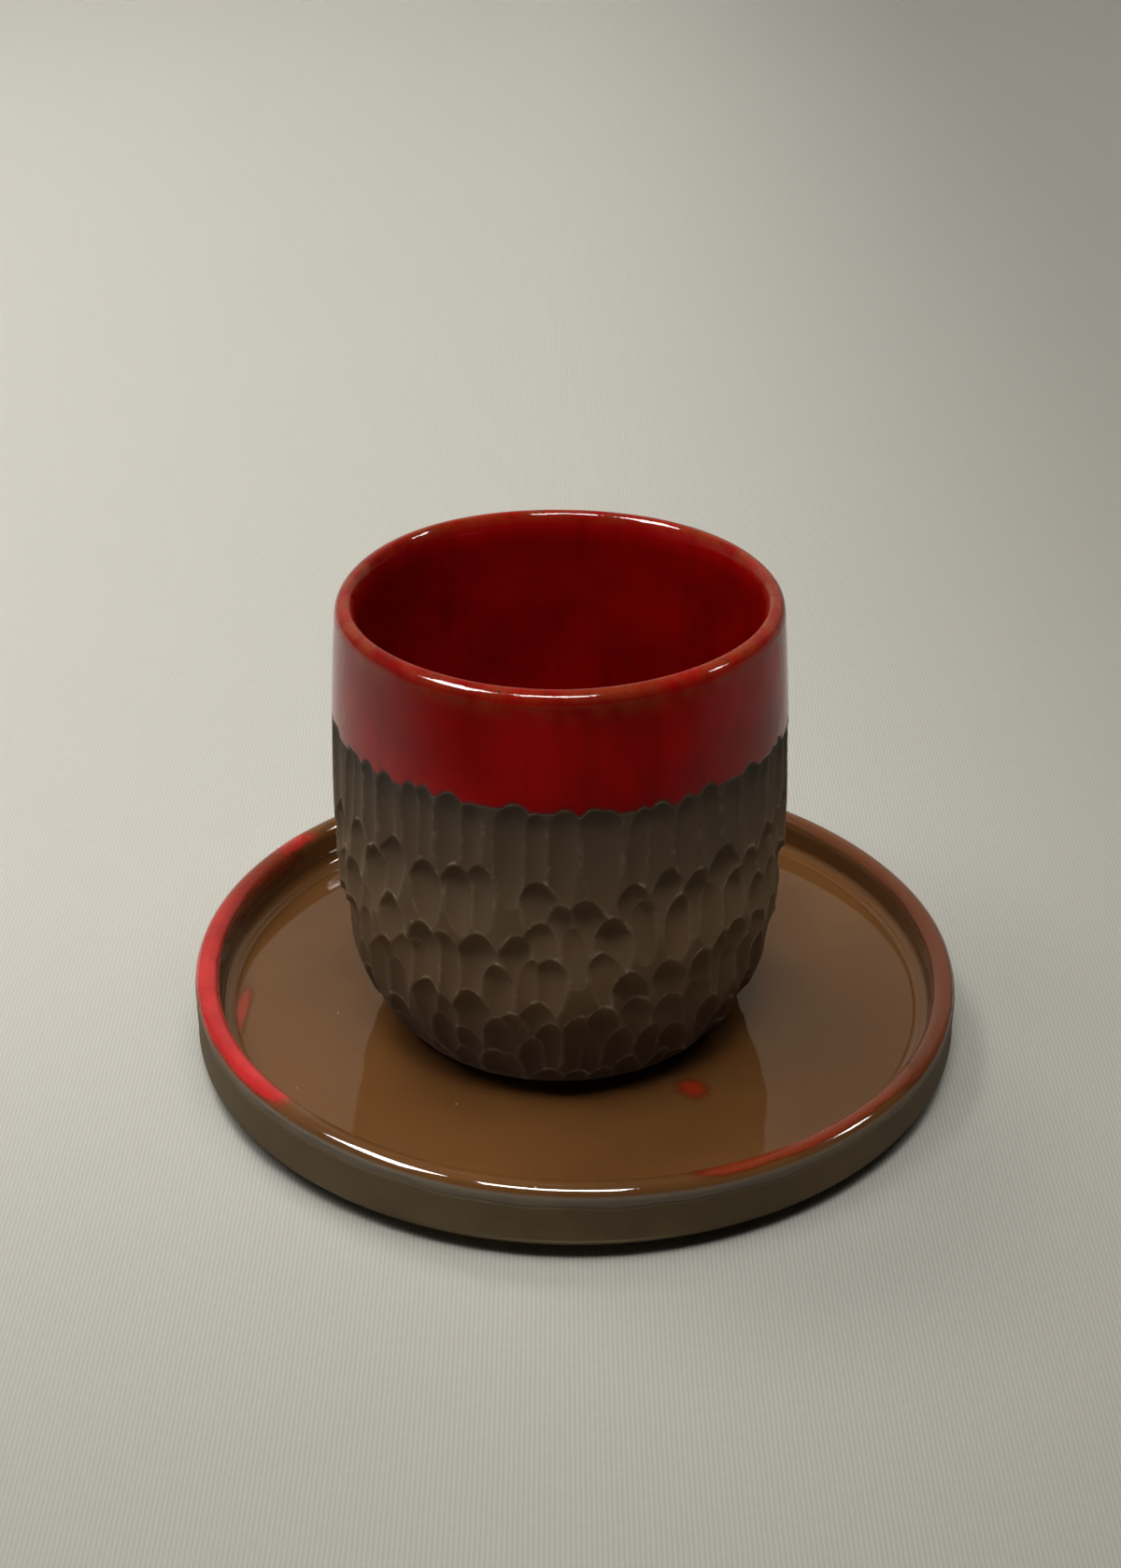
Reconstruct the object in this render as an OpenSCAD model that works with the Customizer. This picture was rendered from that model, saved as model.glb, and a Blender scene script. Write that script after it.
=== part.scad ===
// Cortado cup and saucer: a hand-carved clay cup, glazed inside and round the lip,
// standing loose in the well of a low glazed saucer. Millimetres, +Z up, table at z = 0.

/* [Cup] */
// Widest outside diameter of the cup
cup_diameter = 73.2; // [66:0.2:80]
// How far the lip draws in from the belly, each side
lip_inset = 1.8; // [0.8:0.1:2.4]
// Height of the cup from the underside of its foot
cup_height = 74.5; // [66:0.5:84]
// Height of the widest part of the belly
belly_height = 32; // [28:0.5:40]
// How far the heel, where the wall ends above the foot, is in from the belly
heel_inset = 9; // [8:0.1:12]
// Wall at the lip, glaze included
lip_wall = 3.6; // [3:0.1:4.6]
// Clay and glaze under the drink
cup_floor = 6; // [5:0.1:8]
// Radius between the inside wall and the floor
inside_fillet = 18; // [15:0.5:20]
// How far the foot ring is in from the heel
foot_inset = 3; // [1.5:0.1:5]
// Height of the foot ring
foot_height = 1.7; // [1.2:0.1:2.4]
// Width of the foot ring where it stands
foot_width = 4.5; // [3:0.5:7]
// Where the cup was set down, across from the saucer's axis
cup_x = -2.4; // [-5:0.1:5]
// Where the cup was set down, front to back
cup_y = -2.1; // [-5:0.1:5]

/* [Carving] */
// Scoops in one row round the cup
cuts_around = 42; // [36:1:43]
// Rows of scoops under the flutes
scoop_rows = 6; // [4:1:7]
// Length of the upright flutes under the glaze
flute_length = 12.5; // [10:0.5:18]
// Deepest bite of the flutes
flute_depth = 0.7; // [0.3:0.05:1]
// Deepest bite of the scoops
cut_depth = 1.5; // [0.5:0.05:1.6]
// Radius of the gouge's sweep
gouge_radius = 3.6; // [3:0.1:6]
// Rise and fall of a row round the cup
row_wander = 2; // [0:0.25:3]

/* [Glaze] */
// Thickness of the glaze coats
glaze = 0.5; // [0.3:0.05:0.7]
// Height of the red band outside, from the lip down
red_band = 18.5; // [14:0.5:22]
// Height of the red marks above the saucer's own glaze
mark_height = 0.3; // [0.2:0.05:0.5]

/* [Saucer] */
// Outside diameter of the saucer
saucer_diameter = 128; // [120:0.5:140]
// Height of the saucer's rim
saucer_height = 12.8; // [12.2:0.1:15]
// Width of the rim, glaze included
rim_width = 3.9; // [3.4:0.1:4.6]
// Depth of the well below the rim
well_depth = 6.8; // [5.4:0.1:7.2]
// Radius between the rim's inside wall and the well
well_fillet = 1.5; // [1.2:0.1:2.4]
// Clay below the rim's round that the glaze rolls over
glaze_roll = 1.2; // [0.6:0.1:2]
// Recess of the saucer's foot ring behind its outside wall
saucer_foot_inset = 4.5; // [3:0.1:6]
// Height of the saucer's foot ring
saucer_foot_height = 2.8; // [2:0.1:3.2]
// Width of the saucer's foot ring where it stands
saucer_foot_width = 7; // [4:0.5:12]
// Depth of the recess inside the saucer's foot ring
under_recess = 2.2; // [1.2:0.1:2.6]

/* [Hidden] */
$fn = 96;

// Cup, measured from its own foot
belly_r = cup_diameter / 2;
lip_r = belly_r - lip_inset;
heel_r = belly_r - heel_inset;
foot_r = heel_r - foot_inset;
lip_round = lip_wall / 2;
lip_mid_r = lip_r - lip_round;
lip_mid_z = cup_height - lip_round;
inside_r = lip_r - lip_wall;
fillet_mid_r = inside_r - inside_fillet;
fillet_mid_z = cup_floor + inside_fillet;
glaze_edge_z = cup_height - red_band;
foot_recess = foot_height - 0.4;
// How square the wall turns in to the heel: smaller is squarer
heel_bulge = 0.65;

// Saucer
saucer_r = saucer_diameter / 2;
rim_round = rim_width / 2;
rim_mid_r = saucer_r - rim_round;
rim_mid_z = saucer_height - rim_round;
well_z = saucer_height - well_depth;
well_r = saucer_r - rim_width;
saucer_foot_r = saucer_r - saucer_foot_inset;

// How finely the carved skin and the round edges are drawn
columns = 4 * cuts_around;
flutes_around = round(cuts_around * 4 / 3);
carve_steps = 26;
edge_step = 15;
// The heel keeps a plain edge this tall before the cuts reach full depth
heel_edge = 4;
// The gouge enters steeply over this length, then eases out to the end of the scoop
nose = 3.4;
scoop_step = (glaze_edge_z - flute_length - foot_height) / scoop_rows;
scoop_length = 1.55 * scoop_step;
// Sideways shift of a cut, as a share of the spacing
side_shift = 0.7;
// Sideways lean of a cut for each millimetre down
lean = 0.12;
wander_waves = 3;

// A repeatable random number from 0 to 1 for one cut
function chance(a, b) =
    let (s = sin(a * 127.1 + b * 311.7) * 43758.5453)
    s - floor(s);

// Radius of the uncut outside wall
function wall_r(z) =
    z < belly_height
    ? let (t = max(0, (z - foot_height) / (belly_height - foot_height)))
      heel_r + (belly_r - heel_r) * pow(1 - pow(1 - t, 2), heel_bulge)
    : let (t = min(1, (z - belly_height) / (lip_mid_z - belly_height)))
      belly_r - (belly_r - lip_r) * t * t;

// Cuts round the cup in row k; row 0 is the flutes under the glaze
function cut_count(k) = k == 0 ? flutes_around : cuts_around;

// Height at which cut i of row k starts
function cut_top(k, i) =
    let (turn = 360 * i / cuts_around)
    k == 0
    ? glaze_edge_z - 1.2 * chance(i + 7, 3)
    : glaze_edge_z - flute_length - (k - 1) * scoop_step
      + row_wander * (0.8 * sin(wander_waves * turn + 140 * k) + 2.4 * (chance(i + 7, k + 3) - 0.5));

// Bite of one cut at a place on the wall
function bite(k, i, turn, z) =
    let (
        count = cut_count(k),
        whole = (i + 2 * count) % count,
        half = 0.5 * (k % 2),
        below = cut_top(k, whole) - z,
        run = k == 0 ? 1.4 * flute_length : scoop_length,
        middle = (i + half + side_shift * (chance(whole + 1, k + 1) - 0.5)) * 360 / count,
        slant = lean * (2 * chance(whole + 9, k + 2) - 1) * below,
        across = (turn - middle) * PI / 180 * wall_r(z) - slant,
        deep = (k == 0 ? flute_depth : cut_depth) * (0.65 + 0.35 * chance(whole + 3, k + 5)),
        sweep = gouge_radius * (0.8 + 0.8 * pow(chance(whole + 5, k + 8), 2)),
        along = below <= 0 || below >= run ? 0
            : below < nose ? 1 - pow(1 - below / nose, 2)
            : 1 - 0.95 * pow((below - nose) / (run - nose), k == 0 ? 3 : 1)
    )
    along == 0 ? 0 : deep * along - across * across / (2 * sweep);

// Depth of the carving: the deepest of the cuts that reach the place
function carved(turn, z) =
    let (heel_fade = min(1, max(0, (z - foot_height) / heel_edge)))
    heel_fade * max(0, max([
        for (k = [0:scoop_rows])
            let (near = floor(turn * cut_count(k) / 360))
            max([for (i = [near - 2:near + 2]) bite(k, i, turn, z)])
    ]));

// Points of an arc in the half plane, from one angle to another
function arc(mid, r, from, to, step) =
    let (count = ceil(abs(to - from) / step))
    [for (i = [0:count]) mid + r * [cos(from + (to - from) * i / count), sin(from + (to - from) * i / count)]];

// Outside of the red band from its lower edge to the lip, moved in by a thickness
function band_line(inward) =
    [for (i = [0:4])
        let (z = glaze_edge_z + (lip_mid_z - glaze_edge_z) * i / 4)
        [wall_r(z) - inward, z]];

// Lip, inside wall and floor of the cup, moved into the clay by a thickness
function cup_inside_line(inward) =
    concat(
        arc([lip_mid_r, lip_mid_z], lip_round - inward, 105, 180, edge_step),
        arc([fillet_mid_r, fillet_mid_z], inside_fillet + inward, 0, -90, 9),
        [[0, cup_floor - inward]]
    );

// Rim, inside wall and floor of the saucer, moved into the clay by a thickness
function saucer_top_line(inward) =
    concat(
        [[saucer_r - inward, rim_mid_z - glaze_roll]],
        arc([rim_mid_r, rim_mid_z], rim_round - inward, 0, 180, edge_step),
        arc([well_r - well_fillet, well_z + well_fillet], well_fillet + inward, 0, -90, edge_step),
        [[0, well_z - inward]]
    );

function reversed(list) = [for (i = [len(list) - 1:-1:0]) list[i]];

// Closed skin of the clay outside the cup: rings of points from the foot up to the lip
module carved_skin() {
    foot_rings = [[foot_r, 0, false], [foot_r, foot_height, false]];
    cut_rings = [
        for (i = [0:carve_steps])
            let (z = foot_height + (glaze_edge_z - foot_height) * i / carve_steps)
            [wall_r(z), z, true]
    ];
    band_rings = [for (p = band_line(glaze)) [p[0], p[1], false]];
    lip_rings = [
        for (p = arc([lip_mid_r, lip_mid_z], lip_round - glaze, 25, 75, 25))
            [p[0], p[1], false]
    ];
    rings = concat(foot_rings, cut_rings, band_rings, lip_rings);
    last = len(rings) - 1;
    points = concat(
        [for (ring = rings)
            for (j = [0:columns - 1])
                let (
                    turn = 360 * j / columns,
                    r = ring[0] - (ring[2] ? carved(turn, ring[1]) : 0)
                )
                [r * cos(turn), r * sin(turn), ring[1]]],
        [[0, 0, 0], [0, 0, rings[last][1]]]
    );
    bottom_mid = columns * len(rings);
    top_mid = bottom_mid + 1;
    sides = [
        for (m = [0:last - 1])
            for (j = [0:columns - 1])
                let (
                    a = m * columns + j,
                    b = m * columns + (j + 1) % columns
                )
                each [[a, b + columns, b], [a, a + columns, b + columns]]
    ];
    ends = [
        for (j = [0:columns - 1])
            let (
                next = (j + 1) % columns,
                top = last * columns
            )
            each [[bottom_mid, j, next], [top_mid, top + next, top + j]]
    ];
    polyhedron(points = points, faces = concat(sides, ends), convexity = 6);
}

module cup_body() {
    color([0.25, 0.2, 0.16])
    translate([cup_x, cup_y, well_z])
    difference() {
        carved_skin();
        rotate_extrude()
            polygon(concat(
                [[0, cup_height + 1], [cup_inside_line(glaze)[0][0], cup_height + 1]],
                cup_inside_line(glaze)
            ));
        translate([0, 0, -1])
            cylinder(h = 1 + foot_recess, r = foot_r - foot_width);
    }
}

module cup_red_glaze() {
    over_lip = arc([lip_mid_r, lip_mid_z], lip_round, 10, 95, edge_step);
    under_lip = arc([lip_mid_r, lip_mid_z], lip_round - glaze, 25, 75, 25);
    color([0.5, 0.05, 0.06])
    translate([cup_x, cup_y, well_z])
    rotate_extrude()
        polygon(concat(
            band_line(0),
            over_lip,
            cup_inside_line(0),
            reversed(cup_inside_line(glaze)),
            reversed(under_lip),
            reversed(band_line(glaze))
        ));
}

module saucer_body() {
    color([0.24, 0.2, 0.15])
    difference() {
        rotate_extrude()
            polygon(concat(
                [[0, 0], [saucer_foot_r, 0], [saucer_foot_r, saucer_foot_height]],
                [[saucer_r - 0.6, saucer_foot_height], [saucer_r, saucer_foot_height + 0.6]],
                [[saucer_r, rim_mid_z - glaze_roll]],
                saucer_top_line(glaze)
            ));
        translate([0, 0, -1])
            cylinder(h = 1 + under_recess, r = saucer_foot_r - saucer_foot_width);
    }
}

module saucer_glaze() {
    color([0.4, 0.26, 0.13])
    rotate_extrude()
        polygon(concat(saucer_top_line(0), reversed(saucer_top_line(glaze))));
}

// One brush mark laid along the rim, from one turn to another, over part of its round;
// low and high are whole edge steps, so that the mark seats on the rim's facets
module rim_mark(from_turn, to_turn, low, high) {
    rotate([0, 0, from_turn])
        rotate_extrude(angle = to_turn - from_turn)
            polygon(concat(
                arc([rim_mid_r, rim_mid_z], rim_round, low, high, edge_step),
                arc([rim_mid_r, rim_mid_z], rim_round + mark_height, high - 6, low + 6, edge_step)
            ));
}

// One drop on the floor of the well
module well_mark(r, turn, size) {
    rotate([0, 0, turn])
        translate([r, 0, well_z])
            cylinder(h = mark_height, r1 = size, r2 = size - mark_height);
}

// One smear on the well, just inside the round at the foot of the rim
module well_smear(from_turn, to_turn, width) {
    outer = well_r - well_fillet - 0.4;
    rotate([0, 0, from_turn])
        rotate_extrude(angle = to_turn - from_turn)
            translate([outer - width, well_z])
                square([width, mark_height]);
}

module saucer_red_glaze() {
    color([0.62, 0.07, 0.06]) {
        rim_mark(143, 226, 30, 150);
        rim_mark(-34, 47, 45, 150);
        rim_mark(-75, -38, 60, 165);
        well_mark(0.585 * well_r, -58, 2.3);
        well_smear(180, 195, 2.4);
    }
}

cup_body();
cup_red_glaze();
saucer_body();
saucer_glaze();
saucer_red_glaze();
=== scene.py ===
import math
from collections import namedtuple

import bpy
import numpy as np
from mathutils import Matrix, Vector


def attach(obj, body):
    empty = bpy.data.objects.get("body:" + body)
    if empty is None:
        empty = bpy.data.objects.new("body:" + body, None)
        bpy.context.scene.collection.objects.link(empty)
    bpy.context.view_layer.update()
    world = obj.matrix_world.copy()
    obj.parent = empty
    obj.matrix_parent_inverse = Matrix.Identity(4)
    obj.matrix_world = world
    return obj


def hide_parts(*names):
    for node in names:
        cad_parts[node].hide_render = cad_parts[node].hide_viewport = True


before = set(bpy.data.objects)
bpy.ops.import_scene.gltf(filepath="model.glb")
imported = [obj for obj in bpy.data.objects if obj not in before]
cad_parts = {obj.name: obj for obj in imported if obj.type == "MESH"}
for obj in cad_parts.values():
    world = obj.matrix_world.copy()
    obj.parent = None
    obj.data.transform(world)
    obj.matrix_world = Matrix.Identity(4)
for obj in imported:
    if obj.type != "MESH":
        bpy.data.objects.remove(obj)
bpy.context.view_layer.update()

MM = 0.001
TAU = 2 * math.pi

# Sizes in millimetres, as in the part's source
BELLY_R, LIP_INSET, HEEL_INSET, FOOT_INSET = 36.6, 1.8, 9.0, 3.0
CUP_HEIGHT, BELLY_HEIGHT, HEEL_BULGE = 74.5, 32.0, 0.65
LIP_WALL, CUP_FLOOR, INSIDE_FILLET = 3.6, 6.0, 18.0
FOOT_HEIGHT, FOOT_WIDTH = 1.7, 4.5
CUP_X, CUP_Y = -2.4, -2.1
RED_BAND = 18.5
SAUCER_R, SAUCER_HEIGHT, RIM_WIDTH = 64.0, 12.8, 3.9
WELL_DEPTH, WELL_FILLET, GLAZE_ROLL = 6.8, 1.5, 1.2
SAUCER_FOOT_INSET, SAUCER_FOOT_HEIGHT, SAUCER_FOOT_WIDTH, UNDER_RECESS = 4.5, 2.8, 7.0, 2.2
LIP_R = BELLY_R - LIP_INSET
HEEL_R = BELLY_R - HEEL_INSET
FOOT_R = HEEL_R - FOOT_INSET
LIP_ROUND = LIP_WALL / 2
LIP_MID_R, LIP_MID_Z = LIP_R - LIP_ROUND, CUP_HEIGHT - LIP_ROUND
INSIDE_R = LIP_R - LIP_WALL
GLAZE_EDGE_Z = CUP_HEIGHT - RED_BAND
RIM_ROUND = RIM_WIDTH / 2
RIM_MID_R, RIM_MID_Z = SAUCER_R - RIM_ROUND, SAUCER_HEIGHT - RIM_ROUND
WELL_Z, WELL_R = SAUCER_HEIGHT - WELL_DEPTH, SAUCER_R - RIM_WIDTH
CUP_MIDDLE = (CUP_X, CUP_Y, WELL_Z)

# Sizes of the look alone, in millimetres
LIP_EASE = 5.0  # height over which the lip rounds off to the inside
LIP_BLUSH = 4.5  # height under the lip over which its glaze thins
EDGE_TILT, EDGE_DIP = 0.7, 1.2  # half the red edge's rise to the left, and its furthest dip at a ridge
COATED_SINK = 0.3  # how far clay draws back where a glaze coat covers it
CLAY_LAP, RIM_LAP = 3.0, 0.3  # how far the clay of the cup and of the saucer runs up behind its coat
CUP_BEAD, SAUCER_BEAD = (0.34, 0.7), (0.28, 0.6)  # how proud and how tall each coat's lower edge is
CUP_TUCK, SAUCER_TUCK = 0.8, 0.7  # how far each coat's lower edge turns in
ROLL_SINK = 0.27  # where the saucer's coat starts behind the face of the wall
UNEVEN_RISE, UNEVEN_REACH = 20.0, 9.0  # heights over which the cup's unevenness grows, and dies away inside
RIM_RAISED, RIM_TILT, RIM_HIGH_SIDE = 0.1, 1.05, math.radians(195)
SAUCER_CORNER = 0.8  # round at the foot of the saucer's wall
GROOVE_WIDTH, GROOVE_DEPTH = 1.4, 0.22  # turned line round the edge of the well
MARK_PROUD, SMEAR_PROUD, DROP_PROUD = 0.07, 0.06, 0.08  # how far each mark stands above the glaze
AXIS_R = 0.02  # where the rings of a floor end, just off the axis
CUP_COLUMNS, CUP_ROWS, SAUCER_COLUMNS = 840, 300, 720

# Carving: the cuts of the part's source, here a little longer, deeper and more pointed
SCOOP_ROWS, FLUTE_LENGTH, FLUTE_STAGGER = 6, 12.5, 1.2
GOUGE_RADIUS, NOSE, SIDE_SHIFT, LEAN, HEEL_EDGE = 3.6, 3.4, 0.7, 0.12, 2.5
ROW_WANDER, ROW_WAVE, ROW_SCATTER, ROW_TURN, WANDER_WAVES = 2.0, 0.8, 2.4, 140, 3
SCOOP_STEP = (GLAZE_EDGE_Z - FLUTE_LENGTH - FOOT_HEIGHT) / SCOOP_ROWS

# A kind of cut: how many go round the cup, deepest bite, length, how steeply it enters the clay,
# how late it fades out, and the radius of its top
Cut = namedtuple("Cut", "around depth run entry fade tip")
FLUTE = Cut(around=56, depth=0.75, run=1.4 * FLUTE_LENGTH, entry=2, fade=3, tip=math.inf)
SCOOP = Cut(around=42, depth=1.9, run=1.75 * SCOOP_STEP, entry=3, fade=1.25, tip=2.2)


def chance(a, b):
    """A repeatable random number from 0 to 1 for a pair of whole numbers."""
    s = np.sin(np.radians(a * 127.1 + b * 311.7)) * 43758.5453
    return s - np.floor(s)


def part_way(x, start, length):
    """How far x is along a run from start, kept from 0 to 1."""
    return np.clip((x - start) / length, 0, 1)


def fading(u, length):
    """1 in the middle of a run from 0 to 1, down to 0 over a length at each end."""
    return part_way(np.minimum(u, 1 - u), 0, length)


def wall_r(z):
    """Radius of the cup's outside before it is carved."""
    low = part_way(z, FOOT_HEIGHT, BELLY_HEIGHT - FOOT_HEIGHT)
    high = part_way(z, BELLY_HEIGHT, LIP_MID_Z - BELLY_HEIGHT)
    under = HEEL_R + (BELLY_R - HEEL_R) * (1 - (1 - low) ** 2) ** HEEL_BULGE
    return np.where(z < BELLY_HEIGHT, under, BELLY_R - (BELLY_R - LIP_R) * high ** 2)


def cut_kind(row):
    return FLUTE if row == 0 else SCOOP


def cut_top(row, i):
    """Height at which cut i of a row starts."""
    if row == 0:
        tilt = EDGE_TILT * (1 - np.cos(i * TAU / FLUTE.around))
        return GLAZE_EDGE_Z + tilt - FLUTE_STAGGER * chance(i + 7, 3)
    wave = np.sin(np.radians(WANDER_WAVES * 360 * i / SCOOP.around + ROW_TURN * row))
    wander = ROW_WANDER * (ROW_WAVE * wave + ROW_SCATTER * (chance(i + 7, row + 3) - 0.5))
    return GLAZE_EDGE_Z - FLUTE_LENGTH - (row - 1) * SCOOP_STEP + wander


def cut_middle(row, i):
    """Where cut i of a row is round the cup, in degrees; every other row is half a cut on."""
    around = cut_kind(row).around
    shift = SIDE_SHIFT * (chance(np.mod(i, around) + 1, row + 1) - 0.5)
    return (i + 0.5 * (row % 2) + shift) * 360 / around


def cut_depth(row, i):
    return cut_kind(row).depth * (0.65 + 0.35 * chance(i + 3, row + 5))


def cut_sweep(row, i):
    """Radius of the gouge across cut i of a row."""
    return GOUGE_RADIUS * (0.8 + 0.8 * chance(i + 5, row + 8) ** 2)


def bites(row, i, turn, z):
    """Bite of cut i in a row at each place; turn in degrees, z above the cup's foot."""
    kind = cut_kind(row)
    whole = np.mod(i, kind.around)
    below = cut_top(row, whole) - z
    slant = LEAN * (2 * chance(whole + 9, row + 2) - 1) * below
    across = np.radians(turn - cut_middle(row, i)) * wall_r(z) - slant
    entered = below - across ** 2 / (2 * kind.tip)
    entry = 1 - (1 - part_way(entered, 0, NOSE)) ** kind.entry
    ease = 1 - 0.95 * part_way(below, NOSE, kind.run - NOSE) ** kind.fade
    share = np.where(entered < NOSE, np.minimum(entry, ease), ease)
    bite = cut_depth(row, whole) * share - across ** 2 / (2 * cut_sweep(row, whole))
    return np.where((below <= 0) | (below >= kind.run), 0, bite)


def carving(turn, z):
    """Depth of the deepest cut at each place."""
    depth = np.zeros_like(z)
    for row in range(SCOOP_ROWS + 1):
        near = np.floor(turn * cut_kind(row).around / 360)
        for step in (-2, -1, 0, 1, 2):
            depth = np.maximum(depth, bites(row, near + step, turn, z))
    return depth * part_way(z, FOOT_HEIGHT, HEEL_EDGE)


def stands_out(depth, reach, axis):
    """How far the clay at each place stands above its neighbours at a reach along one axis of the grid."""
    return (np.roll(depth, reach, axis) + np.roll(depth, -reach, axis)) / 2 - depth


def waver(turn, seed, waves, size):
    """A slow hand-made unevenness round a turned form; turn in radians."""
    out = np.zeros_like(turn)
    for w in waves:
        out += np.sin(w * turn + TAU * chance(w + seed, seed)) * (0.5 + chance(seed, w))
    return size * out / len(waves)


def arc(mid_r, mid_z, r, start, end, count):
    """Points (r, z) along an arc; start and end in degrees."""
    a = np.radians(np.linspace(start, end, count))
    return np.column_stack([mid_r + r * np.cos(a), mid_z + r * np.sin(a)])


def spaced(points, step):
    """A line of (r, z) points filled in so that none is further than a step from the next."""
    points = np.array(points)
    out = [points[0]]
    for a, b in zip(points[:-1], points[1:]):
        count = max(1, int(np.ceil(np.hypot(*(b - a)) / step)))
        out += [a + (b - a) * i / count for i in range(1, count + 1)]
    return np.array(out)


def rings(line, columns):
    """Radius and height of a line of (r, z) points, the same in every column."""
    return (np.repeat(line[:, k:k + 1], columns, axis=1) for k in (0, 1))


def bead(up, proud, tall):
    """How far the rounded lower edge of a glaze coat stands out, at a height up from that edge."""
    return proud * np.sqrt(1 - (1 - part_way(up, 0, tall)) ** 2)


def sheet(name, points, marks=None, closed=False):
    """A smooth mesh through rows and columns of points in millimetres, with marks kept on its points."""
    rows, cols = points.shape[:2]
    across = cols if closed else cols - 1
    r, c = np.meshgrid(np.arange(rows - 1), np.arange(across), indexing="ij")
    a = r * cols + c
    b = r * cols + (c + 1) % cols
    faces = np.stack([a, b, b + cols, a + cols], axis=-1).reshape(-1, 4)
    mesh = bpy.data.meshes.new(name)
    mesh.vertices.add(rows * cols)
    mesh.vertices.foreach_set("co", (points * MM).ravel())
    mesh.loops.add(faces.size)
    mesh.loops.foreach_set("vertex_index", faces.ravel())
    mesh.polygons.add(len(faces))
    mesh.polygons.foreach_set("loop_start", np.arange(len(faces)) * 4)
    mesh.update(calc_edges=True)
    mesh.validate()
    mesh.polygons.foreach_set("use_smooth", np.ones(len(mesh.polygons), dtype=bool))
    for key, values in (marks or {}).items():
        layer = mesh.attributes.new(key, "FLOAT", "POINT")
        layer.data.foreach_set("value", np.asarray(values, dtype=np.float32).ravel())
    obj = bpy.data.objects.new(name, mesh)
    bpy.context.scene.collection.objects.link(obj)
    return obj


def turned(name, radius, height, marks=None, middle=(0, 0, 0)):
    """A sheet of closed rings about an upright axis; radius and height are rows by columns."""
    turn = np.arange(radius.shape[1]) * TAU / radius.shape[1]
    points = np.stack([radius * np.cos(turn), radius * np.sin(turn), height], axis=-1)
    return sheet(name, points + middle, marks, closed=True)


class Value:
    """One shader socket, with the arithmetic that the finishes use."""

    def __init__(self, shader, socket):
        self.shader, self.socket = shader, socket

    def maths(self, operation, other):
        return self.shader.node("ShaderNodeMath", {"operation": operation}, {0: self, 1: other})

    def __add__(self, other):
        return self.maths("ADD", other)

    __radd__ = __add__

    def __mul__(self, other):
        return self.maths("MULTIPLY", other)

    __rmul__ = __mul__

    def __sub__(self, other):
        return self.maths("SUBTRACT", other)

    def __rsub__(self, other):
        return self * -1 + other

    def ramp(self, low, high, start=0.0, end=1.0):
        """Start below low, end above high, smooth between."""
        return self.shader.node("ShaderNodeMapRange", {"interpolation_type": "SMOOTHSTEP"},
                                {0: self, 1: low, 2: high, 3: start, 4: end})


class Shader:
    """The nodes of one finish, or of the room."""

    def __init__(self, owner, coordinates="Object"):
        self.owner = owner
        owner.use_nodes = True
        self.tree = owner.node_tree
        self.tree.nodes.clear()
        self.place = self.node("ShaderNodeTexCoord", {}, {}, coordinates)

    def node(self, kind, settings, sockets, output=0):
        made = self.tree.nodes.new(kind)
        for key, value in settings.items():
            setattr(made, key, value)
        for key, value in sockets.items():
            if isinstance(value, Value):
                self.tree.links.new(value.socket, made.inputs[key])
            else:
                made.inputs[key].default_value = value
        return Value(self, made.outputs[output]) if len(made.outputs) else None

    def mark(self, name):
        return self.node("ShaderNodeAttribute", {"attribute_name": name}, {}, "Fac")

    def stretched(self, x, y, z):
        return self.node("ShaderNodeMapping", {}, {"Vector": self.place, "Scale": (x, y, z)})

    def noise(self, scale, detail=3.0, rough=0.55, place=None):
        return self.node("ShaderNodeTexNoise", {}, {
            "Vector": place or self.place, "Scale": scale, "Detail": detail, "Roughness": rough})

    def cells(self, scale):
        return self.node("ShaderNodeTexVoronoi", {}, {"Vector": self.place, "Scale": scale})

    def mix(self, share, a, b):
        return self.node("ShaderNodeMix", {"data_type": "RGBA"}, {0: share, 6: a, 7: b}, 2)

    def layers(self, tone, *coats):
        """A tone with others laid over it in turn, each through its own mask."""
        for mask, over in coats:
            tone = self.mix(mask, tone, over)
        return tone

    def bump(self, height, distance, strength):
        return self.node("ShaderNodeBump", {}, {"Height": height, "Distance": distance, "Strength": strength})

    def finish(self, **sockets):
        names = {key.replace("_", " "): value for key, value in sockets.items()}
        surface = self.node("ShaderNodeBsdfPrincipled", {}, names)
        self.node("ShaderNodeOutputMaterial", {}, {"Surface": surface})
        return self.owner


def colour(r, g, b):
    """A colour as seen on a screen, 0 to 255, turned to light."""
    seen = (v / 255 for v in (r, g, b))
    return tuple(v / 12.92 if v < 0.0404 else ((v + 0.055) / 1.055) ** 2.4 for v in seen) + (1.0,)


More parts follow.
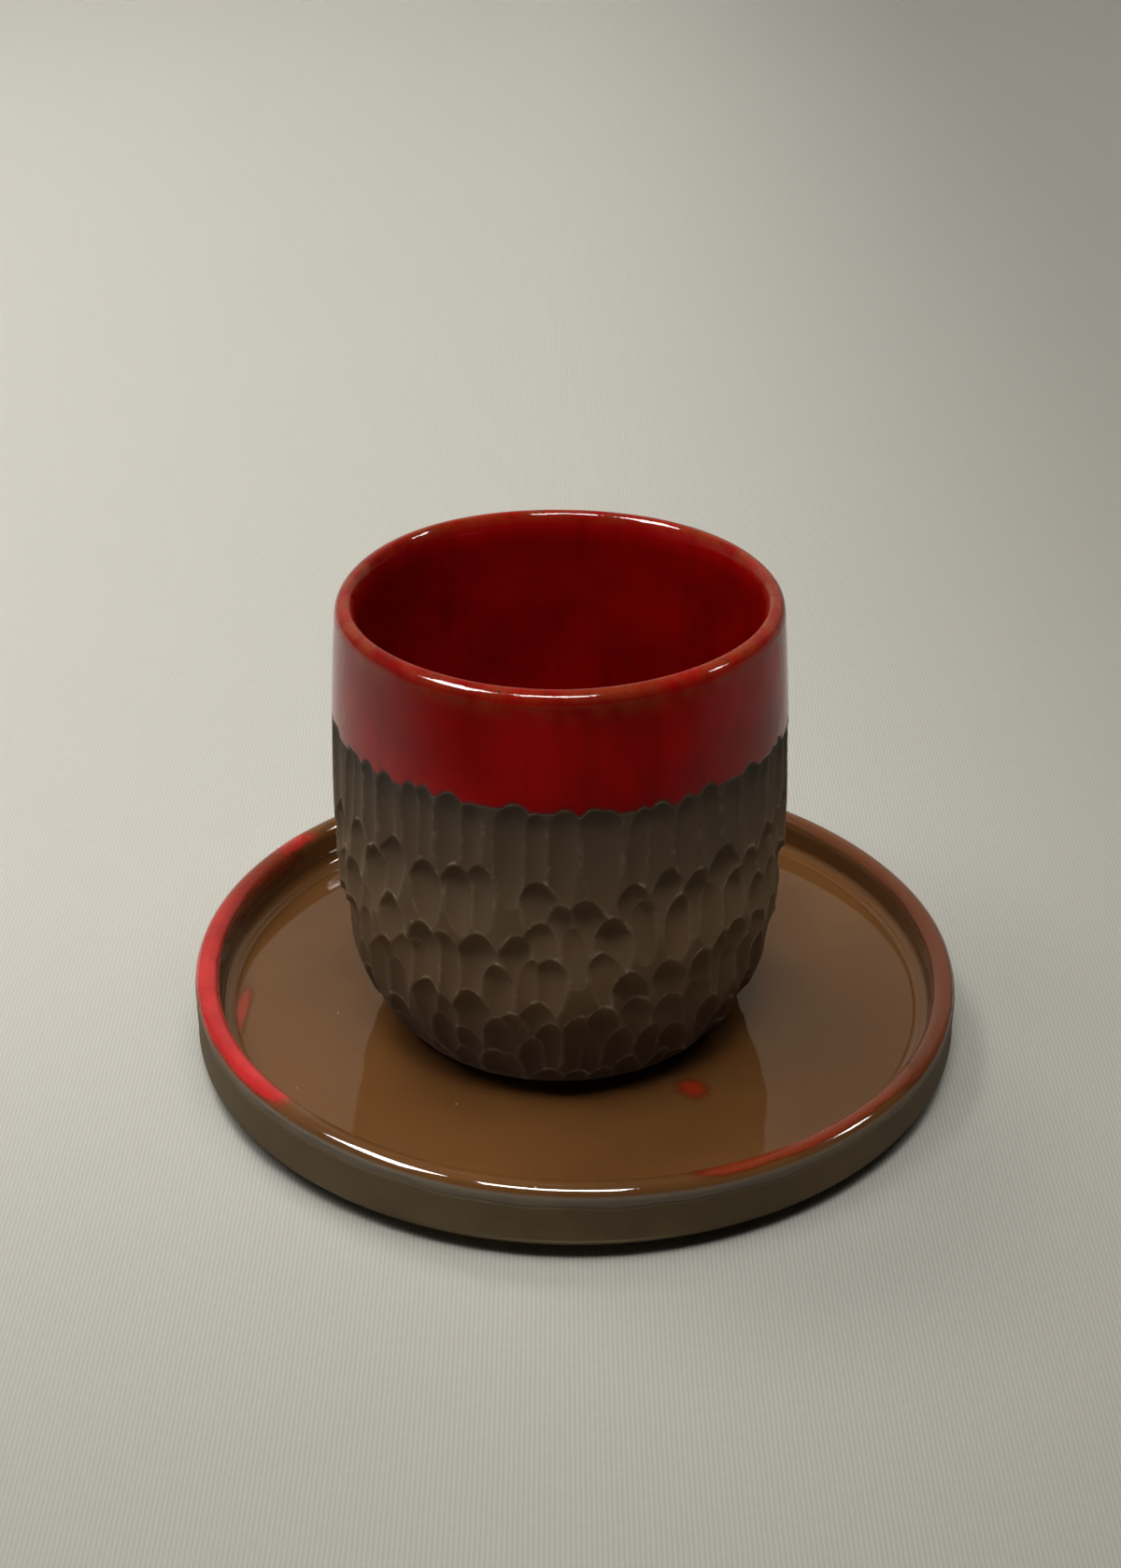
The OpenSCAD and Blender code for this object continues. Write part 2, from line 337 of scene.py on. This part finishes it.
def carved_clay():
    s = Shader(bpy.data.materials.new("carved_clay"))
    grain = s.noise(2600.0, 4.0, 0.65)
    patches = s.noise(70.0)
    drag = s.noise(900.0, 2.0, place=s.stretched(1.0, 1.0, 0.08))
    high = s.mark("height")
    crest = s.mark("crest")
    crumbs = crest * s.noise(420.0, 4.0, 0.7).ramp(0.48, 0.64)
    # Paler crests between the scoops, fading out among the flutes: partly torn clay, partly a painted
    # highlight
    torn_and_highlit_crests = crest * (0.18 + 0.42 * patches) * (1 - high.ramp(0.68, 0.82))
    tone = s.layers(
        colour(108, 84, 59),  # warm clay
        (high.ramp(0.45, 1.0), colour(77, 65, 51)),  # greyer among the flutes
        (patches.ramp(0.35, 0.7) * 0.5, colour(92, 69, 47)),  # darker patches
        ((1 - high.ramp(0.02, 0.42)) * 0.75, colour(58, 43, 29)),  # painted shade: dark heel, darker towards the foot
        (high.ramp(0.88, 1.0) * 0.55, colour(58, 50, 40)),  # along the edge of the red glaze
        (grain.ramp(0.55, 0.8) * 0.35, colour(64, 51, 39)),  # pores
        (torn_and_highlit_crests, colour(132, 114, 90)),  # paler crests between the scoops: partly torn clay, partly painted highlight
        (crumbs * 0.65, colour(158, 141, 117)))  # torn burrs on the crests
    relief = grain * 0.5 + drag * 0.7 + crumbs * 1.2
    return s.finish(Base_Color=tone, Roughness=0.52 + 0.2 * grain, Normal=s.bump(relief, 0.00012, 0.7),
                    Specular_IOR_Level=0.12)


def bare_saucer(s):
    """Tone and relief of the saucer's clay."""
    grain = s.noise(2200.0, 4.0, 0.65)
    patches = s.noise(45.0)
    throwing_rings = s.noise(500.0, 2.0, place=s.stretched(0.05, 0.05, 1.0))
    tone = s.layers(
        colour(98, 82, 56),  # pale clay
        (patches.ramp(0.35, 0.65), colour(84, 69, 46)),  # darker patches
        (grain.ramp(0.55, 0.8) * 0.4, colour(60, 50, 36)))  # pores
    return tone, grain * 0.6 + throwing_rings * 0.6


def saucer_clay():
    s = Shader(bpy.data.materials.new("saucer_clay"))
    tone, relief = bare_saucer(s)
    return s.finish(Base_Color=tone, Roughness=0.62 + 0.12 * relief, Normal=s.bump(relief, 0.00012, 0.7),
                    Specular_IOR_Level=0.15)


def red_glaze():
    s = Shader(bpy.data.materials.new("red_glaze"))
    cloud = s.noise(60.0)
    runs = s.noise(160.0, place=s.stretched(1.0, 1.0, 0.15))
    speck = s.noise(1500.0, 2.0)
    lip = s.mark("lip")
    edge = s.mark("edge")
    thin = lip * s.noise(240.0, 4.0).ramp(0.3, 0.66)
    pits = lip * s.noise(520.0, 3.0, 0.6)
    tone = s.layers(
        colour(122, 3, 4),  # deep red
        (cloud.ramp(0.3, 0.7), colour(156, 8, 7)),  # brighter clouds
        (runs.ramp(0.5, 0.75) * 0.4, colour(92, 1, 2)),  # dark runs
        (thin * 0.9, colour(130, 50, 25)),  # clay showing through on the lip
        (lip * speck.ramp(0.56, 0.68) * 0.8, colour(84, 36, 20)),  # specks on the lip
        (edge * 0.75, colour(92, 12, 10)))  # dark lower edge
    skin = s.bump(s.noise(90.0, 2.0) + speck * 0.05 + pits * 0.3, 0.0004, 0.5)
    return s.finish(Base_Color=tone, Roughness=0.09 + 0.1 * edge - 0.045 * lip, Normal=skin, IOR=1.34)


def brown_coat(s):
    """Tone and specks of the saucer's brown glaze."""
    speck = s.noise(1300.0)
    tone = s.layers(
        colour(102, 67, 35),  # brown
        (s.noise(30.0).ramp(0.3, 0.7), colour(91, 59, 30)),  # darker clouds
        (speck.ramp(0.6, 0.75) * 0.35, colour(74, 50, 30)))  # specks
    return tone, speck


def brown_glaze():
    s = Shader(bpy.data.materials.new("brown_glaze"))
    dust = 1 - s.cells(160.0).ramp(0.012, 0.03)
    thin = s.mark("thin")
    brown, speck = brown_coat(s)
    clay, relief = bare_saucer(s)
    tone = s.layers(brown, (dust, colour(190, 170, 140)), (thin, clay))
    skin = s.bump(s.noise(55.0, 2.0) + speck * 0.04 + relief * thin * 0.4, 0.0003, 0.35)
    return s.finish(Base_Color=tone, Roughness=0.045 + 0.85 * thin, Normal=skin, IOR=1.52)


def red_marks():
    s = Shader(bpy.data.materials.new("red_marks"))
    inside = s.mark("inside")
    force = s.mark("force")
    warm = s.mark("warm")
    ragged = s.noise(330.0, 4.0, 0.65)
    fine = s.noise(1500.0)
    cold = 1 - warm.ramp(0.0, 0.3)
    speckled = (1 - inside).ramp(0.2, 0.9) * fine.ramp(0.4, 0.6) * cold
    rough_edge = (ragged * 0.8 + fine * 0.3 - 0.55) * (1 - warm.ramp(0.5, 1.0))
    brown, _ = brown_coat(s)
    red = s.layers(
        colour(190, 40, 42),  # bright red
        (s.noise(200.0).ramp(0.35, 0.7), colour(172, 32, 32)),  # deeper clouds
        (warm.ramp(0.0, 0.5), colour(134, 34, 14)),  # warm strokes
        (warm.ramp(0.5, 1.0), colour(104, 38, 21)),  # the brownest stroke
        ((1 - force.ramp(0.7, 1.0)) * cold, colour(108, 34, 20)),  # where the brush presses less
        (speckled, colour(176, 84, 50)))  # edges
    skin = s.bump(s.noise(120.0, 2.0) + fine * 0.05, 0.0003, 0.4)
    return s.finish(Base_Color=s.mix(force, brown, red), Roughness=0.1, Normal=skin, IOR=1.5,
                    Alpha=(inside + rough_edge).ramp(0.0, 0.8))


def paper():
    s = Shader(bpy.data.materials.new("grey_paper"))
    ribs = s.node("ShaderNodeTexWave", {"bands_direction": "X"}, {
        "Vector": s.place, "Scale": 460.0, "Distortion": 0.8, "Detail": 2.0, "Detail Scale": 0.4})
    fibres = s.noise(900.0, 4.0)
    x, y, z = (s.node("ShaderNodeSeparateXYZ", {}, {0: s.place}, axis) for axis in "XYZ")
    mirrored = s.node("ShaderNodeLightPath", {}, {}, "Is Glossy Ray")
    seen = s.node("ShaderNodeLightPath", {}, {}, "Is Camera Ray") + mirrored
    tone = s.layers(
        colour(166, 165, 158),  # grey between the ribs
        (fibres * 0.35 + ribs * 0.5, colour(197, 196, 189)),  # paler ribs
        ((1 - x.ramp(-0.3, 0.05)) * 0.45, colour(212, 211, 203)),  # painted light, paler to the left
        (x.ramp(-0.02, 0.2) * 0.78, colour(127, 125, 119)),  # painted shade, darker to the right
        ((1 - y.ramp(-0.2, 0.06)) * 0.52, colour(107, 105, 99)),  # painted shade, darker in front
        ((1 - y.ramp(-0.17, -0.02)) * mirrored, colour(40, 38, 35)))  # painted shade on the front, seen only as the glaze mirrors it
    # Painted light: the paper glows for the camera and the glaze, paler further back and higher up, warmer in
    # the glaze
    right = x.ramp(-0.2, 0.35)
    glow = (y.ramp(0.05, 0.95) * (0.1 - 0.03 * right) + z.ramp(0.0, 0.6) * (0.16 + 0.09 * right)) * seen
    glow_tint = s.mix(mirrored, (1.0, 0.97, 0.89, 1), (1.0, 0.9, 0.72, 1))
    return s.finish(Base_Color=tone, Roughness=0.9, Normal=s.bump(ribs * 0.3 + fibres * 0.3, 0.0002, 0.3),
                    Specular_IOR_Level=0.1, Emission_Color=s.mix(glow, (0, 0, 0, 1), glow_tint),
                    Emission_Strength=1.0)


def dress(obj, material, body, node):
    obj.data.materials.append(material)
    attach(obj, body)
    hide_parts(node)


# Cup
cup_degrees = np.arange(CUP_COLUMNS) * 360 / CUP_COLUMNS
cup_turn = np.radians(cup_degrees)
cup_uneven = waver(cup_turn, 11, (2, 3, 5), 0.15)


def red_edge():
    """Height of the red glaze's lower edge, which stops at the top of each flute and dips at the ridges."""
    flute = np.floor(cup_degrees * FLUTE.around / 360)
    edge = np.full(CUP_COLUMNS, -np.inf)
    for i in (flute - 1, flute, flute + 1):
        whole = np.mod(i, FLUTE.around)
        across = np.radians(cup_degrees - cut_middle(0, i)) * wall_r(GLAZE_EDGE_Z)
        share = part_way(across ** 2, 0, 2 * cut_sweep(0, whole) * cut_depth(0, whole))
        dip = np.minimum(NOSE * (1 - np.sqrt(1 - share)), EDGE_DIP)
        edge = np.maximum(edge, cut_top(0, whole) - dip)
    return edge + waver(cup_turn, 5, (3, 7, 19, 41), 0.25)


edge_z = red_edge()


def carved_wall():
    foot_inside = FOOT_R - FOOT_WIDTH
    recess = FOOT_HEIGHT - 0.4
    under = spaced([
        [AXIS_R, recess], [foot_inside, recess], [foot_inside + 0.4, 0.25], [foot_inside + 0.9, 0],
        [FOOT_R - 0.6, 0], [FOOT_R, 0.4], [FOOT_R, FOOT_HEIGHT], [HEEL_R - 0.5, FOOT_HEIGHT]], 1.5)
    under_r, under_z = rings(under, CUP_COLUMNS)
    heights = np.linspace(FOOT_HEIGHT, GLAZE_EDGE_Z + CLAY_LAP, CUP_ROWS)
    z, turn = np.meshgrid(heights, cup_degrees, indexing="ij")
    depth = carving(turn, z)
    tops = part_way(stands_out(depth, 4, 0), 0.06, 0.2)
    ridges = part_way(stands_out(depth, 3, 1), 0.03, 0.15)
    coated = part_way(z, edge_z + 0.1, 0.5)
    r = wall_r(z) - depth - COATED_SINK * coated + cup_uneven * part_way(z, 0, UNEVEN_RISE)
    radius = np.vstack([under_r, r])
    height = np.vstack([under_z, z])
    crest = np.vstack([0 * under_r, np.maximum(tops, 0.25 * ridges)])
    marks = {"crest": crest, "height": height / GLAZE_EDGE_Z}
    return turned("cup_carved_wall", radius, height, marks, CUP_MIDDLE)


def cup_glaze():
    s = np.concatenate([np.linspace(0, 0.12, 14)[:-1], np.linspace(0.12, 1, 40)])[:, None]
    band_z = edge_z + s * (LIP_MID_Z - edge_z)
    band_r = wall_r(band_z) - COATED_SINK + bead(band_z - edge_z, *CUP_BEAD) + cup_uneven
    edge_r = wall_r(edge_z) - CUP_TUCK
    outer = arc(LIP_MID_R, LIP_MID_Z, LIP_ROUND, 6, 90, 16)
    inner = arc(LIP_MID_R, 0, LIP_ROUND, 90, 180, 30)[1:]
    inner[:, 1] = CUP_HEIGHT - LIP_EASE + inner[:, 1] * LIP_EASE / LIP_ROUND
    lip = np.vstack([outer, inner])
    bowl_mid_z = CUP_FLOOR + INSIDE_FILLET
    down = spaced([lip[-1], [INSIDE_R, bowl_mid_z]], 1.2)[1:]
    bowl = arc(INSIDE_R - INSIDE_FILLET, bowl_mid_z, INSIDE_FILLET, 0, -90, 40)[1:]
    floor = spaced([bowl[-1], [AXIS_R, CUP_FLOOR]], 0.8)[1:]
    line = np.vstack([lip, down, bowl, floor])
    line_r, line_z = rings(line, CUP_COLUMNS)
    near_lip = np.exp(-((line_z - CUP_HEIGHT) / UNEVEN_REACH) ** 2)
    lift = waver(cup_turn, 23, (2, 3, 4), 0.25)
    radius = np.vstack([edge_r, band_r, line_r + cup_uneven * near_lip])
    height = np.vstack([edge_z, band_z + lift * s ** 3, line_z + lift * near_lip])
    band = slice(0, 1 + len(s))
    over = slice(band.stop, band.stop + len(lip))
    on_lip = np.zeros(radius.shape)
    on_lip[band] = 0.8 * part_way(height[band], LIP_MID_Z - LIP_BLUSH, LIP_BLUSH) ** 2
    on_lip[over] = part_way(lip[:, 1:], LIP_MID_Z, LIP_ROUND) ** 0.7
    on_edge = np.zeros(radius.shape)
    on_edge[band] = 1 - part_way(height[band], edge_z, 1.1)
    return turned("cup_glaze_coat", radius, height, {"lip": on_lip, "edge": on_edge}, CUP_MIDDLE)


# Saucer: its rim rises to the left and is slightly uneven
rim_turn = np.arange(SAUCER_COLUMNS) * TAU / SAUCER_COLUMNS
rim_sag = waver(rim_turn, 41, (2, 4, 9), 0.12)
rim_lift = RIM_RAISED + RIM_TILT * np.cos(rim_turn - RIM_HIGH_SIDE) + waver(rim_turn, 31, (2, 3, 5), 0.16)
roll_edge = RIM_MID_Z - GLAZE_ROLL + 0.8 * rim_lift + waver(rim_turn, 37, (3, 8, 17, 31), 0.35)


def rim_share(z):
    """How far a place follows the rim's unevenness: not at all on the well, wholly on the rim."""
    return part_way(z, WELL_Z, RIM_MID_Z - WELL_Z)


def saucer_wall():
    foot_r = SAUCER_R - SAUCER_FOOT_INSET
    foot_inside = foot_r - SAUCER_FOOT_WIDTH
    under = spaced([
        [AXIS_R, UNDER_RECESS], [foot_inside, UNDER_RECESS], [foot_inside + 0.5, 0.3],
        [foot_inside + 1, 0], [foot_r - 0.7, 0], [foot_r, 0.5], [foot_r, SAUCER_FOOT_HEIGHT],
        [SAUCER_R - 1.0, SAUCER_FOOT_HEIGHT]], 2.0)
    corner = arc(SAUCER_R - SAUCER_CORNER, SAUCER_FOOT_HEIGHT + SAUCER_CORNER, SAUCER_CORNER, -80, 0, 8)
    line_r, line_z = rings(np.vstack([under, corner]), SAUCER_COLUMNS)
    low = SAUCER_FOOT_HEIGHT + SAUCER_CORNER + 0.1
    high = RIM_MID_Z + rim_lift + RIM_LAP
    wall_z = low + np.linspace(0, 1, 30)[:, None] * (high - low)
    coated = part_way(wall_z, roll_edge + 0.05, 0.4)
    radius = np.vstack([line_r, SAUCER_R + rim_sag - COATED_SINK * coated])
    return turned("saucer_clay_wall", radius, np.vstack([line_z, wall_z]))


def saucer_coat():
    s = np.linspace(0, 1, 12)[:, None]
    roll_z = roll_edge + s * (RIM_MID_Z - roll_edge)
    roll_r = SAUCER_R - ROLL_SINK + bead(roll_z - roll_edge, *SAUCER_BEAD) + rim_sag
    edge_r = np.full(SAUCER_COLUMNS, SAUCER_R - SAUCER_TUCK)
    rim = arc(RIM_MID_R, RIM_MID_Z, RIM_ROUND, 4, 180, 36)
    fillet = arc(WELL_R - WELL_FILLET, WELL_Z + WELL_FILLET, WELL_FILLET, 0, -90, 14)
    wall = spaced([rim[-1], fillet[0]], 0.5)[1:-1]
    u = np.linspace(0, 1, 12)[1:]
    groove_z = WELL_Z - GROOVE_DEPTH * np.sin(np.pi * u) ** 2
    groove = np.column_stack([fillet[-1, 0] - GROOVE_WIDTH * u, groove_z])
    floor = spaced([groove[-1], [AXIS_R, WELL_Z]], 1.0)[1:]
    line_r, line_z = rings(np.vstack([rim, wall, fillet, groove, floor]), SAUCER_COLUMNS)
    share = rim_share(line_z)
    radius = np.vstack([edge_r, roll_r, line_r + rim_sag * share])
    height = np.vstack([roll_edge, roll_z + rim_lift * s, line_z + rim_lift * share])
    start = 1 + len(s)
    thin = np.zeros(radius.shape)
    thin[:start] = 1.0
    outside = rim[:, :1] > RIM_MID_R
    thin[start:start + len(rim)] = (1 - part_way(rim[:, 1:], RIM_MID_Z + 0.4, 0.7)) * outside
    return turned("saucer_glaze_coat", radius, height, {"thin": thin})


def rim_stroke(start, end, low, high, reach, force, faint, warm, seed):
    """A brush mark along the rim, and on down its inside wall by reach, just proud of the glaze.

    Start and end are degrees round the rim, low and high are degrees over it from the outside.
    The brush starts with only the faint share of its force.
    """
    long = abs(end - start)
    u = np.linspace(0, 1, int(long * 4))
    turn = np.radians(np.linspace(start, end, len(u)))
    line = arc(RIM_MID_R, RIM_MID_Z, RIM_ROUND + MARK_PROUD, low, high, 28)
    if reach:
        line = np.vstack([line, spaced([line[-1], [WELL_R - MARK_PROUD, RIM_MID_Z - reach]], 0.3)[1:]])
    sag, lift = (np.interp(np.mod(turn, TAU), rim_turn, values, period=TAU) for values in (rim_sag, rim_lift))
    share = rim_share(line[:, 1:])
    r = line[:, :1] + sag * share
    z = line[:, 1:] + lift * share
    v = np.linspace(0, 1, len(line))[:, None]
    sides = np.clip(np.minimum(v, 1 - v) / 0.25 + 0.25 * waver(turn, seed, (5, 11, 23), 1.0), 0, 1)
    inside = fading(u, 6 / long) * sides
    force = force * (faint + (1 - faint) * part_way(u, 0, 0.5))
    return r * np.cos(turn), r * np.sin(turn), z, inside, force, warm


def smear(start, end, r_outer, width, force, warm):
    """A tapering red smear on the well along the foot of the rim's inner wall; start and end in degrees."""
    u = np.linspace(0, 1, 60)
    v = np.linspace(0, 1, 12)[:, None]
    turn = np.radians(start + (end - start) * u)
    r = r_outer - v * width * (1.1 - 0.8 * u)
    inside = fading(v, 0.45) * fading(u, 0.4)
    return r * np.cos(turn), r * np.sin(turn), WELL_Z + SMEAR_PROUD, inside, force * inside, warm


def drop(r_mid, turn_mid, long, wide, force, warm):
    """A drop of red on the floor of the well, as rings about its own middle; turn_mid in degrees."""
    around = np.linspace(0, TAU, 49)
    share = np.linspace(0, 1, 10)[:, None]
    c, s = math.cos(math.radians(turn_mid)), math.sin(math.radians(turn_mid))
    out = r_mid + share * wide * np.cos(around)
    along = share * long * np.sin(around)
    z = WELL_Z + DROP_PROUD - 0.07 * share ** 3
    force = force * part_way(1.6 * (1 - share), 0, 1)
    return out * c - along * s, out * s + along * c, z, 1 - share, force, warm


def join(name, pieces):
    bpy.ops.object.select_all(action="DESELECT")
    for piece in pieces:
        piece.select_set(True)
    bpy.context.view_layer.objects.active = pieces[0]
    bpy.ops.object.join()
    pieces[0].name = name
    return pieces[0]


def red_brushwork():
    # A rim stroke: from and to round the rim, from and to over it, reach, force, faint share, warmth, seed
    brushed = (
        rim_stroke(143, 226, 16, 176, 0, 1.0, 0.7, 0.0, 51),
        rim_stroke(144, 178, 150, 180, 2.4, 0.6, 1.0, 0.6, 54),
        rim_stroke(140, 153, 24, 165, 0, 0.95, 1.0, 0.0, 55),
        rim_stroke(54, -38, 16, 168, 0, 0.6, 0.4, 1.0, 52),
        rim_stroke(-28, -76, 48, 176, 0, 0.68, 0.5, 0.5, 53),
        smear(178, 197, WELL_R - WELL_FILLET - 0.2, 5.2, 0.75, 0.3),
        drop(35.1, -58, 3.6, 4.4, 0.85, 0.45))
    pieces = []
    for n, values in enumerate(brushed):
        x, y, z, inside, force, warm = np.broadcast_arrays(*values)
        marks = {"inside": inside, "force": force, "warm": warm}
        pieces.append(sheet(f"stroke_{n}", np.stack([x, y, z], axis=-1), marks))
    return join("saucer_brush_marks", pieces)


dress(carved_wall(), carved_clay(), "cup", "cup_body")
dress(cup_glaze(), red_glaze(), "cup", "cup_red_glaze")
dress(saucer_wall(), saucer_clay(), "saucer", "saucer_body")
dress(saucer_coat(), brown_glaze(), "saucer", "saucer_glaze")
dress(red_brushwork(), red_marks(), "saucer", "saucer_red_glaze")

# Paper sweep: flat under the saucer, rising behind it
PAPER_HALF_WIDTH, PAPER_FRONT, PAPER_BACK, PAPER_TOP, SWEEP_R = 1800, -1500, 900, 1800, 600


def paper_sweep():
    flat = np.linspace(PAPER_FRONT, PAPER_BACK, 13)
    bend = np.linspace(0.1, math.pi / 2, 12)
    y = np.concatenate([flat, PAPER_BACK + SWEEP_R * np.sin(bend), [PAPER_BACK + SWEEP_R]])
    z = np.concatenate([0 * flat, SWEEP_R * (1 - np.cos(bend)), [PAPER_TOP]])
    x = np.linspace(-PAPER_HALF_WIDTH, PAPER_HALF_WIDTH, 13)
    points = np.stack(np.broadcast_arrays(x, y[:, None], z[:, None]), axis=-1)
    obj = sheet("paper_sweep", points)
    obj.data.materials.append(paper())


paper_sweep()

# Lamps: name, degrees round from the camera to the right, degrees up, then distance, width and depth
# in metres, and watts. The lamps light every piece, and only the glints show as highlights in the glaze.
LAMPS = (
    ("lamp_front", -5, 74, 2.4, 0.8, 0.4, 20.0),
    ("lamp_left", -80, 58, 1.0, 0.45, 0.25, 2.2),
    ("lamp_right", 70, 72, 1.5, 0.6, 0.6, 4.2),
    ("lamp_top", -40, 82, 1.5, 0.8, 0.8, 5.0),
    ("lamp_back_left", -138, 56, 1.3, 0.4, 0.3, 5.2))
GLINTS = (
    ("glint_front", -5, 66, 2.4, 1.1, 0.5, 75.0),
    ("glint_left", -68, 54, 1.0, 0.38, 0.32, 20.0),
    ("glint_right", 92, 38, 1.3, 0.16, 0.16, 4.0))
LAMP_COLOUR = (1.0, 0.975, 0.93)
LAMP_AIM = Vector((0, 0, 0.04))


def lamp(name, turn, rise, far, wide, deep, power):
    """An oblong lamp aimed at the cup."""
    turn, rise = math.radians(turn), math.radians(rise)
    flat = far * math.cos(rise)
    data = bpy.data.lights.new(name, "AREA")
    data.shape = "RECTANGLE"
    data.size, data.size_y = wide, deep
    data.energy = power
    data.color = LAMP_COLOUR
    obj = bpy.data.objects.new(name, data)
    obj.location = (flat * math.sin(turn), -flat * math.cos(turn), far * math.sin(rise))
    obj.rotation_euler = (LAMP_AIM - obj.location).to_track_quat("-Z", "Y").to_euler()
    bpy.context.scene.collection.objects.link(obj)
    return obj


for settings in LAMPS:
    lamp(*settings).visible_glossy = False
for settings in GLINTS:
    lamp(*settings).visible_diffuse = False

# The room: pale behind the cup and to its left, dark to its right and behind the camera
ROOM_COLOUR = (0.95, 0.93, 0.88, 1.0)
PALE_SIDE = (-0.5, 0.85, 0.0)
ROOM_DARK, ROOM_PALE = 0.012, 0.17


def room():
    s = Shader(bpy.data.worlds.new("room"), "Generated")
    toward = s.node("ShaderNodeVectorMath", {"operation": "DOT_PRODUCT"}, {0: s.place, 1: PALE_SIDE}, "Value")
    strength = toward.ramp(-0.35, 0.45, ROOM_DARK, ROOM_PALE)
    light = s.node("ShaderNodeBackground", {}, {"Color": ROOM_COLOUR, "Strength": strength})
    s.node("ShaderNodeOutputWorld", {}, {"Surface": light})
    return s.owner


bpy.context.scene.world = room()

# Camera, from the photograph's outlines
FOCAL_PX, FRAME_TALL, SENSOR = 2463.0, 1679.0, 36.0
CAMERA_AT = (-2.37, -326.3, 229.5)
PITCH, ROLL = math.radians(29.45), math.radians(-0.19)
camera_data = bpy.data.cameras.new("camera")
camera_data.sensor_fit = "AUTO"
camera_data.sensor_width = SENSOR
camera_data.lens = FOCAL_PX / FRAME_TALL * SENSOR
camera = bpy.data.objects.new("camera", camera_data)
camera.location = tuple(v * MM for v in CAMERA_AT)
aim = Matrix.Rotation(math.pi / 2 - PITCH, 3, "X") @ Matrix.Rotation(ROLL, 3, "Z")
camera.rotation_euler = aim.to_euler()
bpy.context.scene.collection.objects.link(camera)
bpy.context.scene.camera = camera
bpy.context.scene.view_settings.view_transform = "Standard"
